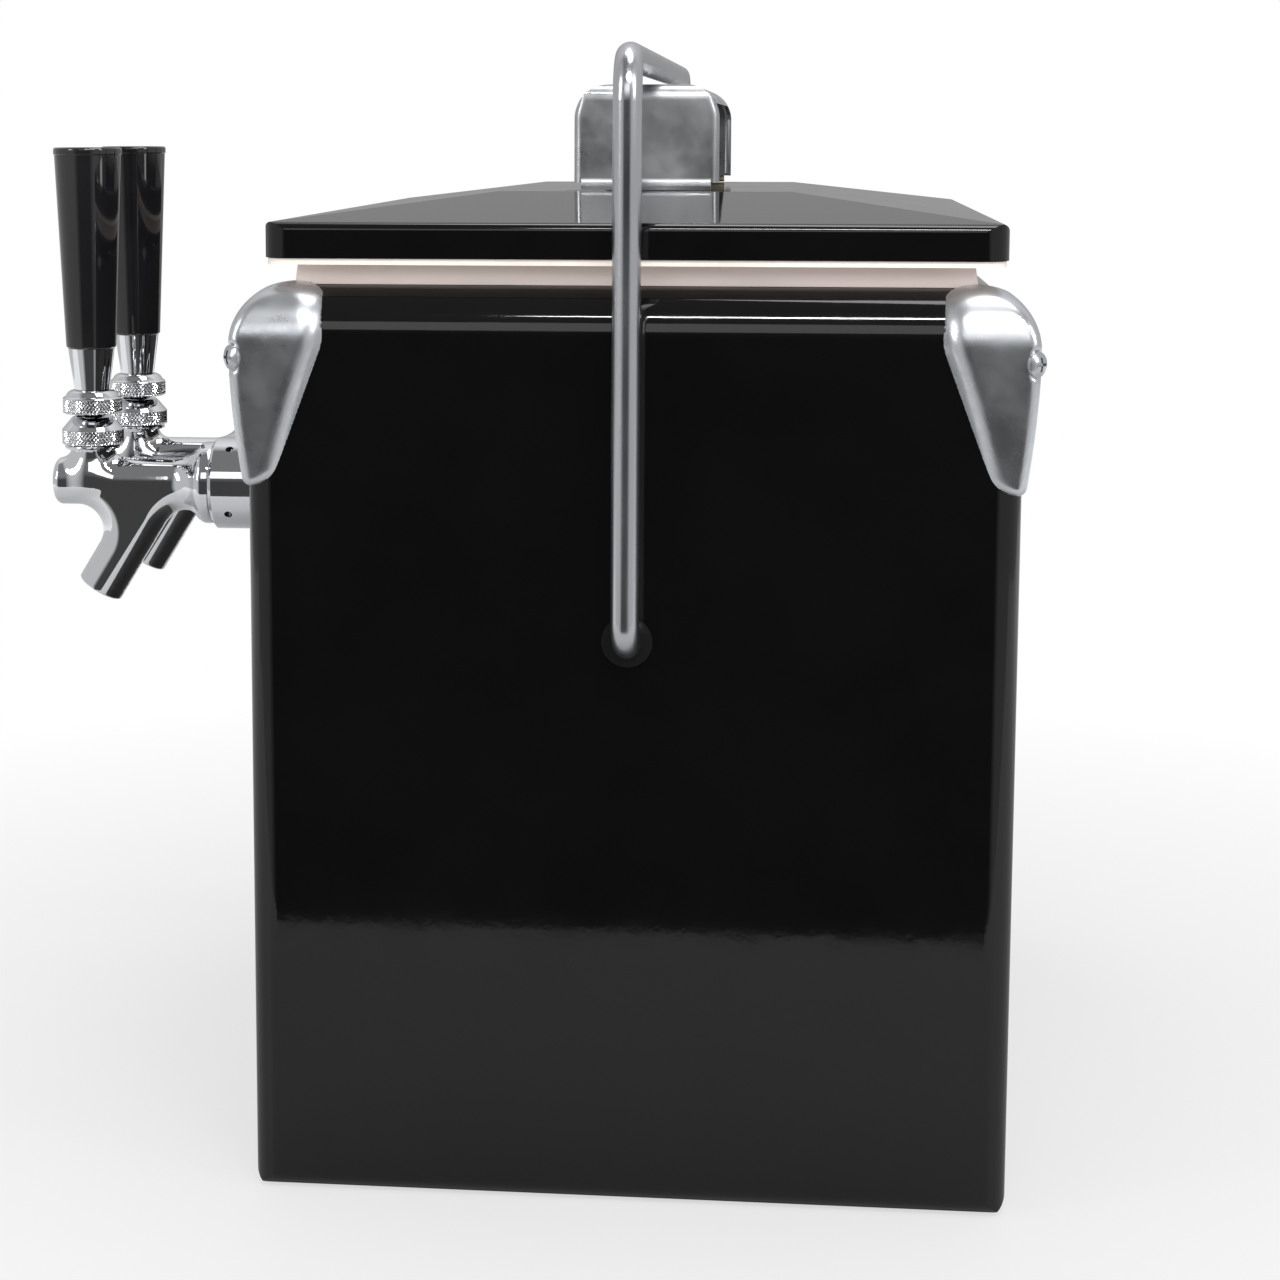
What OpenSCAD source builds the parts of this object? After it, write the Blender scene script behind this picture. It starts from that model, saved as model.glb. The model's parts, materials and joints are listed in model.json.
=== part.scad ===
// Two-tap jockey box: a retro steel picnic cooler that holds two chilling coils,
// with a pair of chrome beer faucets on its front wall and a bail handle over its lid.
// Millimetres. Origin: centre of the underside. +Z up, faucets towards -X, ends at -Y and +Y.

/* [Body] */
// Width of the body, front wall to rear wall
body_w = 272; // [250:1:300]
// Length of the body, end to end
body_l = 360; // [352:1:400]
// Height of the painted shell, without its collar
body_h = 330; // [320:1:350]
// Thickness of the sheet steel
sheet_t = 0.8; // [0.6:0.1:1.5]
// Radius of the upright corners
corner_r = 10; // [8:0.5:14]
// Radius of the shoulder at the top edge
shoulder_r = 18; // [12:0.5:20]
// Radius of the bottom edge
base_r = 7; // [4:0.5:9]

/* [Liner] */
// Wall of the plastic liner
liner_t = 2; // [1.5:0.1:3]
// Insulation between shell and liner, on the walls
foam_wall = 23.2; // [20:0.1:26]
// Insulation under the liner's floor
foam_floor = 23.2; // [15:0.1:30]
// Upright corner radius inside the liner
tub_r = 24; // [15:1:35]
// How far the collar stands in from the wall
collar_inset = 15.4; // [14:0.1:17]
// Height of the collar above the shell
collar_rise = 6.7; // [5:0.1:10]
// Depth of the collar's skirt below the shell's top
collar_skirt = 8; // [6:0.5:12]
// How much the collar narrows at its top, on each side
collar_draft = 1.2; // [0:0.1:1.5]

/* [Lid] */
// Width of the lid, front to rear
lid_w = 260.8; // [255:0.2:262]
// Length of the lid, end to end
lid_l = 345; // [338:1:352]
// Height of the lid's upright rim
lid_rim = 12.3; // [10:0.1:16]
// Rise of the sloped faces
lid_rise = 9.6; // [6:0.1:10]
// Width of the lid's flat top
flat_w = 109.6; // [90:0.2:130]
// Length of the lid's flat top
flat_l = 190; // [180:1:210]
// Radius of the lid's edge round its rim
lid_edge_r = 3; // [1:0.1:4]
// Radius of the lid's corners in plan
lid_corner_r = 9; // [6:0.5:12]
// Thickness of the lid liner's edge
lid_flange_t = 2.1; // [1.6:0.1:3]
// Depth of the plug that drops into the liner
plug_depth = 8; // [5:0.5:9]
// Gap between plug and liner
plug_gap = 2; // [1:0.1:4]

/* [Lid strap] */
// Width of the strap
strap_w = 55; // [40:1:60]
// Length of the strap over its two legs
strap_l = 168; // [140:1:172]
// Height of the strap above the lid's flat top
strap_h = 40; // [36:0.5:40.5]
// Thickness of the strap's steel
strap_t = 1.5; // [1:0.1:2]
// Radius rolled along the strap's long edges
strap_roll_r = 8.5; // [5:0.1:10]
// Radius where a leg turns into the deck
strap_bend_r = 6; // [3:0.5:8]
// Length of the slot beside each leg
slot_w = 61; // [61:1:66]

/* [Carry handle] */
// Diameter of the handle's rod
rod_d = 10; // [8:0.5:11]
// Height of the handle's pivots
pivot_z = 206; // [204:0.5:208]
// Height of the grip bar's axis
grip_z = 409; // [409:0.5:414]
// Distance of each leg's axis from the end wall
leg_gap = 13.5; // [13.5:0.5:16]
// Centre line radius of the handle's upper bends
grip_bend_r = 15; // [12:1:22]
// Centre line radius of the handle's lower bends
foot_bend_r = 9; // [8:0.5:10.5]
// Length of rod inside the wall
stub_l = 14; // [10:1:18]

/* [Corner covers] */
// How far a cover stands off the wall at its screw
cover_proud = 4.8; // [3.5:0.1:5]
// How far a cover stands off the wall at its tip
tip_proud = 0.9; // [0.7:0.1:1.5]
// Radius of a cover's shoulder
cover_shoulder_r = 23; // [20:0.5:24]
// Thickness of a cover's sheet
cover_t = 1; // [0.8:0.1:1.5]
// Radius of the ridge down the middle of a cover
ridge_r = 4; // [3:0.5:5]
// Height of a cover's top edge
cover_top_z = 332.4; // [330:0.1:332.6]
// Height of a cover's lower tip
cover_tip_z = 259; // [255:1:270]
// Radius of a cover's round head
cover_head_r = 20; // [17:0.5:22]
// Radius of a cover's tip
cover_tip_r = 8.5; // [6:0.5:10]
// Height of the screw
cover_screw_z = 305; // [298:1:312]
// Diameter of the screw head
screw_head_d = 8.8; // [7:0.2:9]

/* [Taps] */
// Spacing of the two taps
tap_pitch = 75; // [70:1:80]
// Height of the taps' axes
tap_z = 241; // [236:1:246]
// Distance from the wall to the faucet's nose
tap_reach = 108.5; // [106:0.5:112]
// Distance from the wall to the lever
lever_reach = 93; // [92:0.5:95]
// Distance from the wall to the coupling nut's front face
nut_reach = 41.8; // [40:0.1:44]
// Length of the coupling nut
nut_l = 23.8; // [22:0.1:26]
// Diameter of the coupling nut
nut_d = 37.3; // [36:0.1:40]
// Radius of the faucet's barrel
barrel_r = 9.6; // [9.2:0.1:10]
// Radius of the spout
spout_r = 9.6; // [9:0.1:10]
// Radius of the spout's bore
spout_bore_r = 6.5; // [5:0.1:7]
// Angle of the spout from upright
spout_tilt = 31.5; // [28:0.5:35]
// Length of the spout from the barrel's axis to its mouth
spout_l = 51.8; // [48:0.2:56]
// Distance of the spout's root behind the lever
spout_back = 29; // [27:0.5:30]
// Radius of the neck below the bonnet
neck_r = 8.75; // [8.6:0.05:9.5]
// Radius of the bonnet over its knurl
bonnet_r = 12.6; // [12:0.1:13.5]
// Height of the bonnet's knurl
bonnet_h = 6.3; // [5:0.1:7]
// Radius of the lever's ball
ball_r = 8; // [7.8:0.05:8.1]
// Height of the lever's pivot above the tap's axis
pivot_rise = 18.5; // [18:0.1:19]
// Travel of the lever, for its clearances
lever_travel = 22; // [15:1:22]

/* [Tap handles] */
// Height of the handle's foot above the tap's axis
handle_foot = 54.9; // [54:0.1:58]
// Height of the tap handle
handle_h = 81.1; // [70:0.5:100]
// Radius of the tap handle at its foot
handle_r1 = 10.1; // [10:0.1:11]
// Radius of the tap handle at its top
handle_r2 = 13.8; // [12:0.1:16]
// Radius of the lever collar
collar_r = 12.1; // [11:0.1:13]
// Height of the lever collar's knurl
collar_h = 6.5; // [5:0.1:8]

/* [Shanks and coils] */
// Radius of the shanks
shank_r = 11.1; // [10.5:0.1:11.3]
// Radius of the beer way through shanks and inlets
beer_way_r = 3.6; // [2.5:0.1:3.8]
// Diameter of the coil tube
tube_d = 8; // [6:0.5:8]
// Radius of the coils at the middle of the tube
coil_r = 62; // [55:0.5:62]
// Distance of each coil's centre from the middle of the liner
coil_y = 77; // [70:0.5:78]
// Sideways shift of each coil's centre
coil_shift = 5; // [5:0.5:8]
// Rise of a coil in each turn
coil_pitch = 9; // [8.8:0.1:9.5]
// Whole turns of each coil
coil_turns = 14; // [6:1:14]
// Height of the beer inlets
inlet_z = 44; // [44:0.5:60]
// Length of an inlet's thread
inlet_thread_l = 14; // [10:1:18]

/* [Hidden] */
$fn = 48;
gap = 0.3;                 // between pieces that rest on each other
fit = 0.1;                 // round running and screwed fits
seam = 0.2;                // between foam and what it fills

LEFT = 1;                  // the left tap as its user sees it, at +Y
RIGHT = -1;

black = [0.03, 0.03, 0.035];
chrome = [0.78, 0.79, 0.8];
zinc = [0.62, 0.64, 0.67];
beige = [0.74, 0.68, 0.65];
cream = [0.93, 0.9, 0.87];
rubber = [0.12, 0.12, 0.12];

// Liner and opening
foam_inset = sheet_t + foam_wall;
tub_w = body_w - 2 * foam_inset;           // over the liner's walls
tub_l = body_l - 2 * foam_inset;
floor_z = sheet_t + foam_floor;            // underside of the liner's floor
tub_floor = floor_z + liner_t;             // floor that the coils stand on
collar_w = body_w - 2 * collar_inset;
collar_l = body_l - 2 * collar_inset;
collar_corner_r = 4;
collar_top = body_h + collar_rise;
collar_foot = body_h - collar_skirt;
liner_lip = liner_t + 1.2;                 // thickness of the collar's sloped wall at its foot

// Lid
flange_z = collar_top + gap;
lid_z = flange_z + lid_flange_t + seam;    // lower edge of the rim
rim_z = lid_z + lid_rim;
lid_top = rim_z + lid_rise;
plug_w = tub_w - 2 * liner_t - 2 * plug_gap;
plug_l = tub_l - 2 * liner_t - 2 * plug_gap;
plug_r = tub_r - plug_gap;
flange_in = 0.8;                           // the lid liner's edge lies this far inside the rim
hem_l = 4;                                 // turned-in hem under the rim
gasket_w = 4;
gasket_t = 1.1;

// Strap
deck_z = lid_top + strap_h;
foot_r = 3;                                // curl of the strap's feet on the lid
slot_l = 4;
tab_w = 30;
tab_drop = 7;
tab_in = 7;
lip_side = 4;                              // rolled lip left along the legs
lip_deck = 7;                              // rolled lip left under the deck

// Carry handle
leg_y = body_l / 2 + leg_gap;
rod_r = rod_d / 2;
bushing_wall = 2;
bushing_flange_r = rod_r + 4;
bushing_flange_t = 1.5;

// Corner covers
cover_rim_t = 1.2;
cover_top_gap = 2.6;                       // thickness over the body's top edge
cover_depth = 22;                          // reach of a cover inwards, along the corner's diagonal
ridge_x = (cover_proud - ridge_r) * sqrt(2) + ridge_r;     // ridge, out from the body's corner
wall_x = corner_r * (1 - sqrt(2));                         // the shell's own corner, same way
screw_seat_x = ridge_x - 1.1;
screw_r = 2;
screw_l = 18;
head_h = 2.6;
boss_r = 4;

// Taps, out from the wall and up from the tap's axis
lever_x = lever_reach;
nut_back = nut_reach - nut_l;
rim_r = 16.3;                              // the faucet's rim against the nut
rim_l = 4.4;
flare_r = 16;                              // arc from rim to barrel
nose_r = 3;
tail_r = 14.2;
tail_l = 8.4;
tail_x = nut_reach + seam - tail_l;
step_r = 11.45;                            // ring on the neck under the bonnet
step_z = 13.5;
step_h = 1.8;
neck_thread_r = 10.4;
neck_top = 21.5;
neck_bore_r = 7;
bore_r = 6.8;                              // the barrel's own bore
seat_x = 45;
seat_l = 3;
seat_r = 4.8;
chamber_r = 8;
spout_x = lever_x - spout_back;
front_arc_r = 10.3;
rear_arc_r = 17;
web_t = 13;
mouth_l = 22;                              // length of the spout's straight mouth
spout_dir = [sin(spout_tilt), -cos(spout_tilt)];
spout_side = [cos(spout_tilt), sin(spout_tilt)];

bonnet_z = step_z + step_h + gap;
bonnet_top = bonnet_z + bonnet_h + 4.8;
bonnet_top_r = 8;
lip_z = pivot_rise + 5.5;                  // the lip that holds the ball
lip_r = 5.95;
mouth_r = 6.9;

tip_r = 2.2;
tip_z = 1.5;
stem_r = 1.4;
lever_neck_r = 3;
stud_r = 4.7;
stud_z = pivot_rise + 11.2;
stud_top = handle_foot + 10;
lever_collar_z = bonnet_top + 1.5;
collar_recess_r = 9.5;
collar_recess_h = 2.3;
collar_dome_h = 2.9;
ferrule_z = lever_collar_z + collar_h + collar_dome_h + 0.1;
ferrule_r1 = 7.15;
ferrule_r2 = 9.4;
ferrule_top = handle_foot - 0.2;

yoke_l = 14;
yoke_out = 9.5;                            // yoke's front end beyond the lever
yoke_r = bore_r - fit;
yoke_flat_z = 3.3;
slot_half = tip_r + 0.25;
shaft_r = 2.9;
washer_r = 6.4;
washer_t = 2.7;
shaft_nut_r = 4.5;
shaft_nut_l = 2.5;

collar_x = nut_back + 5;                   // shank collar inside the nut
gasket_x = tail_x - 2;
flange_r = 22.5;
flange_t = 4;
liner_x = -(foam_inset + liner_t);         // the liner's inner face, seen from the wall
washer_x = liner_x - seam;
lock_washer_t = 2;
lock_washer_r = 18;
lock_nut_x = washer_x - lock_washer_t - seam;
lock_nut_l = 8;
lock_nut_af = 32;
shank_end = liner_x - 24;
tail_nut_l = 17;
tail_nut_af = 28.6;
tail_nut_end = shank_end - 6;
elbow_flange_r = 8;
elbow_flange_t = 1.6;
elbow_x = tail_nut_end - 2;
elbow_bend_r = 12;
elbow_drop = 20;                           // the elbow's mouth below the tap's axis
elbow_bore_r = 2.8;

// Inlets, out from the end wall
inlet_hex_af = 28;
inlet_hex_l = 5;
inlet_thread_r = 11.1;
inlet_body_r = 9.5;
inlet_nut_l = 7;
inlet_nut_af = 26;
inlet_washer_t = 1.5;
inlet_end = liner_x - 22;
nipple_r = 6.5;

// ---- Shapes that repeat ----

function unit(v) = v / norm(v);

// Tangent points and centre of a fillet at a convex corner
function fillet(before, corner, after, r) =
    let (u = unit(before - corner), v = unit(after - corner), half = acos(u * v) / 2)
    [corner + u * r / tan(half), corner + v * r / tan(half), corner + unit(u + v) * r / sin(half)];

// Convex outline whose corners are rounded, each to its own radius
module rounded_outline(points, radii) {
    n = len(points);
    corners = [for (i = [0:n - 1]) fillet(points[(i + n - 1) % n], points[i], points[(i + 1) % n], radii[i])];
    polygon([for (i = [0:n - 1]) each radii[i] > 0 ? [corners[i][0], corners[i][1]] : [points[i]]]);
    for (i = [0:n - 1]) if (radii[i] > 0) translate(corners[i][2]) circle(radii[i]);
}

module rounded_rect(w, l, r)
    rounded_outline([[-w, -l] / 2, [w, -l] / 2, [w, l] / 2, [-w, l] / 2], [r, r, r, r]);

// Side view of a box between two heights
module side_outline(w, z0, z1, low_r, high_r)
    rounded_outline([[-w / 2, z0], [w / 2, z0], [w / 2, z1], [-w / 2, z1]],
                    [low_r, low_r, high_r, high_r]);

// Box shaped by its plan and by both side views
module soft_box(w, l, z0, z1, plan_r, low_r, high_r) intersection() {
    translate([0, 0, z0]) linear_extrude(z1 - z0) rounded_rect(w, l, plan_r);
    rotate([90, 0, 0]) linear_extrude(l + 2, center = true) side_outline(w, z0, z1, low_r, high_r);
    rotate([90, 0, 90]) linear_extrude(w + 2, center = true) side_outline(l, z0, z1, low_r, high_r);
}

// The body's outer form, drawn in by an inset or, if it is negative, let out
module body_form(inset, plan_r)
    soft_box(body_w - 2 * inset, body_l - 2 * inset, inset, body_h - inset,
             plan_r, base_r - inset, shoulder_r - inset);

module along_x() rotate([0, 90, 0]) children();

module ring(r_out, r_in, h) difference() {
    cylinder(r = r_out, h = h);
    translate([0, 0, -1]) cylinder(r = r_in, h = h + 2);
}

// Hexagonal nut along X, from x down to x - l
module hex_nut(af, r_in, x, l) translate([x - l, 0, 0]) along_x() difference() {
    intersection() {
        cylinder(d = af / cos(30), h = l, $fn = 6);
        nut_turning(af, l);
    }
    translate([0, 0, -1]) cylinder(r = r_in, h = l + 2);
}

// Chamfers on the six points of a nut
module nut_turning(af, l) rotate_extrude()
    polygon([[0, 0], [af * 0.48, 0], [af * 0.6, af * 0.07],
             [af * 0.6, l - af * 0.07], [af * 0.48, l], [0, l]]);

module at_tap(side) translate([-body_w / 2, side * tap_pitch / 2, tap_z]) mirror([1, 0, 0]) children();

module at_lever(side) at_tap(side) translate([lever_x, 0, 0]) children();

module at_corner(sx, sy)
    translate([sx * body_w / 2, sy * body_l / 2, 0]) rotate([0, 0, atan2(sy, sx)]) children();

module at_inlet(x) translate([x, body_l / 2, inlet_z]) rotate([0, 0, 90]) children();

function inlet_at(side) = -side * (coil_r + coil_shift);

// ---- Body ----

module outer_shell() color(black) difference() {
    union() {
        difference() {
            body_form(0, corner_r);
            body_form(sheet_t, corner_r - sheet_t);
            translate([0, 0, body_h - shoulder_r]) linear_extrude(shoulder_r + 1)
                rounded_rect(collar_w, collar_l, collar_corner_r);
        }
        translate([0, 0, collar_foot]) linear_extrude(collar_skirt - seam) difference() {
            rounded_rect(collar_w + 2 * sheet_t, collar_l + 2 * sheet_t, collar_corner_r + sheet_t);
            rounded_rect(collar_w, collar_l, collar_corner_r);
        }
    }
    wall_holes(fit);
}

// Every hole through the walls, with its own clearance
module wall_holes(clear) {
    for (side = [LEFT, RIGHT]) {
        at_tap(side) translate([2 * liner_x, 0, 0]) along_x()
            cylinder(r = shank_r + clear, h = -2 * liner_x + 1);
        at_inlet(inlet_at(side)) translate([2 * liner_x, 0, 0]) along_x()
            cylinder(r = inlet_body_r + clear, h = -2 * liner_x + 1);
        translate([0, side * (body_l / 2 - stub_l - bushing_wall - seam), pivot_z]) rotate([-90 * side, 0, 0])
            cylinder(r = rod_r + bushing_wall + clear, h = stub_l + bushing_wall + 1);
    }
    for (sx = [-1, 1], sy = [-1, 1]) at_corner(sx, sy)
        translate([screw_seat_x - screw_l - 1, 0, cover_screw_z]) along_x()
            cylinder(r = screw_r + clear, h = screw_l);
}

module foam_insulation() color([0.9, 0.82, 0.6]) difference() {
    body_form(sheet_t + seam, corner_r - sheet_t - seam);
    translate([0, 0, floor_z - seam]) linear_extrude(body_h)
        rounded_rect(tub_w + 2 * seam, tub_l + 2 * seam, tub_r + liner_t + seam);
    translate([0, 0, collar_foot - seam]) linear_extrude(body_h)
        rounded_rect(collar_w + 2 * sheet_t + 2 * seam, collar_l + 2 * sheet_t + 2 * seam,
                     collar_corner_r + sheet_t + seam);
    wall_holes(seam);
}

// Collar block with its sloped sides, without the hollow inside it
module collar_block() {
    foot_w = collar_w - 2 * gap;
    foot_l = collar_l - 2 * gap;
    intersection() {
        translate([0, 0, collar_foot]) linear_extrude(collar_skirt + collar_rise)
            rounded_rect(foot_w, foot_l, collar_corner_r - gap);
        rotate([90, 0, 0]) linear_extrude(collar_l, center = true) collar_side(foot_w);
        rotate([90, 0, 90]) linear_extrude(collar_w, center = true) collar_side(foot_l);
    }
}

module collar_side(w) polygon([[-w / 2, collar_foot], [w / 2, collar_foot], [w / 2, body_h],
                               [w / 2 - collar_draft, collar_top], [collar_draft - w / 2, collar_top],
                               [-w / 2, body_h]]);

module inner_liner() color(beige) difference() {
    union() {
        difference() {
            collar_block();
            translate([0, 0, collar_foot - 1]) linear_extrude(collar_skirt + collar_rise - liner_t + 1)
                rounded_rect(collar_w - 2 * liner_lip, collar_l - 2 * liner_lip, 1);
        }
        soft_box(tub_w, tub_l, floor_z, collar_top - liner_t / 2, tub_r + liner_t, 6 + liner_t, 0);
    }
    soft_box(tub_w - 2 * liner_t, tub_l - 2 * liner_t, tub_floor, collar_top + 1, tub_r, 6, 0);
    wall_holes(fit);
}

// ---- Corner covers ----

module teardrop(grow) {
    head_z = cover_top_z - cover_head_r;
    tip_z = cover_tip_z + cover_tip_r;
    rise = asin((cover_head_r - cover_tip_r) / (head_z - tip_z));
    way = [cos(rise), sin(rise)];
    head_r = cover_head_r + grow;
    low_r = cover_tip_r + grow;
    translate([0, head_z]) circle(head_r);
    translate([0, tip_z]) circle(low_r);
    polygon([[head_r * way[0], head_z + head_r * way[1]], [-head_r * way[0], head_z + head_r * way[1]],
             [-low_r * way[0], tip_z + low_r * way[1]], [low_r * way[0], tip_z + low_r * way[1]]]);
}

// Teardrop run through a body corner along its diagonal
module teardrop_prism(sx, sy, grow)
    at_corner(sx, sy) translate([-cover_depth, 0, 0]) rotate([90, 0, 90])
        linear_extrude(cover_depth + 10) teardrop(grow);

// Side view of the covers' common form, fullest at the screws and drawn in towards the tips
module cover_side(w, inset) {
    top_z = body_h + cover_top_gap - inset;
    screw_w = w / 2 + cover_proud - inset;
    tip_w = w / 2 + tip_proud - inset;
    rounded_outline([[-tip_w, cover_tip_z - 1], [tip_w, cover_tip_z - 1], [screw_w, cover_screw_z],
                     [screw_w, top_z], [-screw_w, top_z], [-screw_w, cover_screw_z]],
                    [0, 0, 0, cover_shoulder_r - inset, cover_shoulder_r - inset, 0]);
}

module cover_form(inset) intersection() {
    translate([0, 0, cover_tip_z - 1]) linear_extrude(body_h - cover_tip_z + 10)
        rounded_rect(body_w + 2 * (cover_proud - inset), body_l + 2 * (cover_proud - inset), ridge_r - inset);
    rotate([90, 0, 0]) linear_extrude(body_l + 20, center = true) cover_side(body_w, inset);
    rotate([90, 0, 90]) linear_extrude(body_w + 20, center = true) cover_side(body_l, inset);
}

module corner_cover(sx, sy) color(zinc) difference() {
    union() {
        difference() {
            intersection() {
                teardrop_prism(sx, sy, 0);
                cover_form(0);
            }
            intersection() {
                teardrop_prism(sx, sy, -cover_rim_t);
                cover_form(cover_t);
            }
        }
        at_corner(sx, sy) translate([wall_x, 0, cover_screw_z]) along_x()
            cylinder(r = boss_r, h = ridge_x - cover_t / 2 - wall_x);
    }
    body_form(-seam, corner_r + seam);
    at_corner(sx, sy) translate([wall_x - 1, 0, cover_screw_z]) along_x()
        cylinder(r = screw_r + fit, h = ridge_x - wall_x + 2);
    at_corner(sx, sy) translate([screw_seat_x, 0, cover_screw_z]) along_x()
        cylinder(d = screw_head_d + 1, h = 5);
}

module corner_screws() color(chrome) for (sx = [-1, 1], sy = [-1, 1])
    at_corner(sx, sy) translate([screw_seat_x + 0.05, 0, cover_screw_z]) along_x() {
        difference() {
            intersection() {
                cylinder(d = screw_head_d, h = head_h);
                translate([0, 0, head_h - screw_head_d * 0.75]) sphere(screw_head_d * 0.75);
            }
            for (turn = [0, 90]) rotate([0, 0, turn]) translate([0, 0, head_h])
                cube([screw_head_d * 0.56, 1, 2.4], center = true);
        }
        translate([0, 0, -screw_l + 1.5]) cylinder(r = screw_r, h = screw_l - 1.4);
    }

// ---- Carry handle ----

module pivot_bushing(side) color(black) translate([0, side * (body_l / 2 - stub_l - bushing_wall), pivot_z])
    rotate([-90 * side, 0, 0]) difference() {
        union() {
            cylinder(r = rod_r + bushing_wall, h = stub_l + bushing_wall + bushing_flange_t);
            translate([0, 0, stub_l + bushing_wall + 0.05])
                cylinder(r = bushing_flange_r, h = bushing_flange_t);
        }
        translate([0, 0, bushing_wall]) cylinder(r = rod_r + 0.08, h = stub_l + 5);
    }

// Quarter bend of rod: starts along +Z at the origin and turns towards +Y
module rod_bend(bend_r) translate([0, bend_r, 0]) rotate([90, 0, -90])
    rotate_extrude(angle = 90) translate([bend_r, 0]) circle(rod_r);

module carry_handle() color(zinc) {
    leg_z0 = pivot_z + foot_bend_r;
    leg_z1 = grip_z - grip_bend_r;
    for (side = [-1, 1]) mirror([0, side > 0 ? 1 : 0, 0]) {
        translate([0, -leg_y, leg_z0]) cylinder(r = rod_r, h = leg_z1 - leg_z0);
        translate([0, -leg_y, leg_z1]) rod_bend(grip_bend_r);
        translate([0, -leg_y, leg_z0]) mirror([0, 0, 1]) rod_bend(foot_bend_r);
        translate([0, -leg_y + foot_bend_r, pivot_z]) rotate([-90, 0, 0])
            cylinder(r = rod_r, h = leg_gap - foot_bend_r + stub_l - seam);
    }
    translate([0, 0, grip_z]) rotate([90, 0, 0])
        cylinder(r = rod_r, h = 2 * (leg_y - grip_bend_r), center = true);
}

// ---- Lid ----

module lid_side(span, flat, inset) {
    slope = lid_rise / ((span - flat) / 2);
    half = span / 2 - inset;
    rim = rim_z - inset * (1 - slope);
    edge_r = lid_edge_r - inset;
    rounded_outline([[-half, lid_z], [half, lid_z], [half, rim], [flat / 2, lid_top - inset],
                     [-flat / 2, lid_top - inset], [-half, rim]],
                    [0, 0, edge_r, 4, 4, edge_r]);
}

// The lid's hipped form, drawn in by an inset
module lid_form(inset) intersection() {
    translate([0, 0, lid_z]) linear_extrude(lid_rim + lid_rise)
        rounded_rect(lid_w - 2 * inset, lid_l - 2 * inset, lid_corner_r - inset);
    rotate([90, 0, 0]) linear_extrude(lid_l + 2, center = true) lid_side(lid_w, flat_w, inset);
    rotate([90, 0, 90]) linear_extrude(lid_w + 2, center = true) lid_side(lid_l, flat_l, inset);
}

module lid_shell() color(black) difference() {
    union() {
        difference() {
            lid_form(0);
            translate([0, 0, -seam]) lid_form(sheet_t);
            translate([0, 0, lid_z - 1]) linear_extrude(2)
                rounded_rect(lid_w - 2 * sheet_t, lid_l - 2 * sheet_t, lid_corner_r - sheet_t);
        }
        translate([0, 0, lid_z]) linear_extrude(sheet_t) difference() {
            rounded_rect(lid_w - 1, lid_l - 1, lid_corner_r - 0.5);
            rounded_rect(lid_w - 2 * hem_l, lid_l - 2 * hem_l, lid_corner_r - hem_l);
        }
    }
    strap_slots(lid_top - 3, 6, slot_w, slot_l);
}

module strap_slots(z, h, w, l) for (side = [-1, 1])
    translate([-w / 2, side * (strap_l / 2 - strap_t / 2) - l / 2, z]) cube([w, l, h]);

module lid_liner() color(cream) difference() {
    union() {
        translate([0, 0, flange_z]) linear_extrude(lid_flange_t)
            rounded_rect(lid_w - 2 * flange_in, lid_l - 2 * flange_in, lid_corner_r - flange_in);
        soft_box(plug_w, plug_l, flange_z - plug_depth, flange_z + 1, plug_r, 4, 0);
    }
    soft_box(plug_w - 2 * liner_t, plug_l - 2 * liner_t, flange_z - plug_depth + liner_t,
             lid_z + 1, plug_r - liner_t, 2, 0);
    gasket_ring(seam, flange_z - 1, gasket_t + 1);
}

// Ring under the lid's edge, over the top of the collar
module gasket_ring(grow, z, h) {
    w = tub_w + gasket_w + 2;
    l = tub_l + gasket_w + 2;
    translate([0, 0, z]) linear_extrude(h) difference() {
        rounded_rect(w + 2 * grow, l + 2 * grow, tub_r + grow);
        rounded_rect(w - 2 * gasket_w - 2 * grow, l - 2 * gasket_w - 2 * grow, tub_r - gasket_w - grow);
    }
}

module lid_gasket() color(cream)
    gasket_ring(0, flange_z - 0.15, gasket_t);

module lid_foam() color([0.9, 0.82, 0.6]) difference() {
    union() {
        intersection() {
            lid_form(sheet_t + seam);
            translate([0, 0, lid_z + sheet_t + seam + 50]) cube([lid_w, lid_l, 100], center = true);
        }
        soft_box(plug_w - 2 * liner_t - 2 * seam, plug_l - 2 * liner_t - 2 * seam,
                 flange_z - plug_depth + liner_t + seam, flange_z + lid_flange_t + sheet_t + 4 * seam,
                 plug_r - liner_t - seam, 2, 0);
    }
    strap_slots(lid_top - tab_drop - 2, tab_drop + 3, tab_w + 2, 2 * tab_in + 4);
}

module strap_form(inset) {
    w = strap_w - 2 * inset;
    l = strap_l - 2 * inset;
    top = deck_z - inset;
    intersection() {
        translate([0, 0, lid_top + foot_r]) linear_extrude(strap_h) rounded_rect(w, l, 3 - inset);
        rotate([90, 0, 0]) linear_extrude(l + 2, center = true)
            side_outline(w, lid_top, top, 0, strap_roll_r - inset);
        rotate([90, 0, 90]) linear_extrude(w + 2, center = true)
            side_outline(l, lid_top, top, 0, strap_bend_r - inset);
    }
}

// Curled foot of one leg, in the plane across the strap
module strap_foot() {
    turn = [strap_l / 2 + foot_r, lid_top + gap + strap_t + foot_r];
    intersection() {
        translate(turn) difference() {
            circle(foot_r + strap_t);
            circle(foot_r);
        }
        translate(turn - [foot_r + strap_t, foot_r + strap_t]) square([foot_r + strap_t, foot_r + strap_t]);
    }
    translate([strap_l / 2 - strap_t, turn[1]]) square([strap_t, 2]);
}

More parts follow.
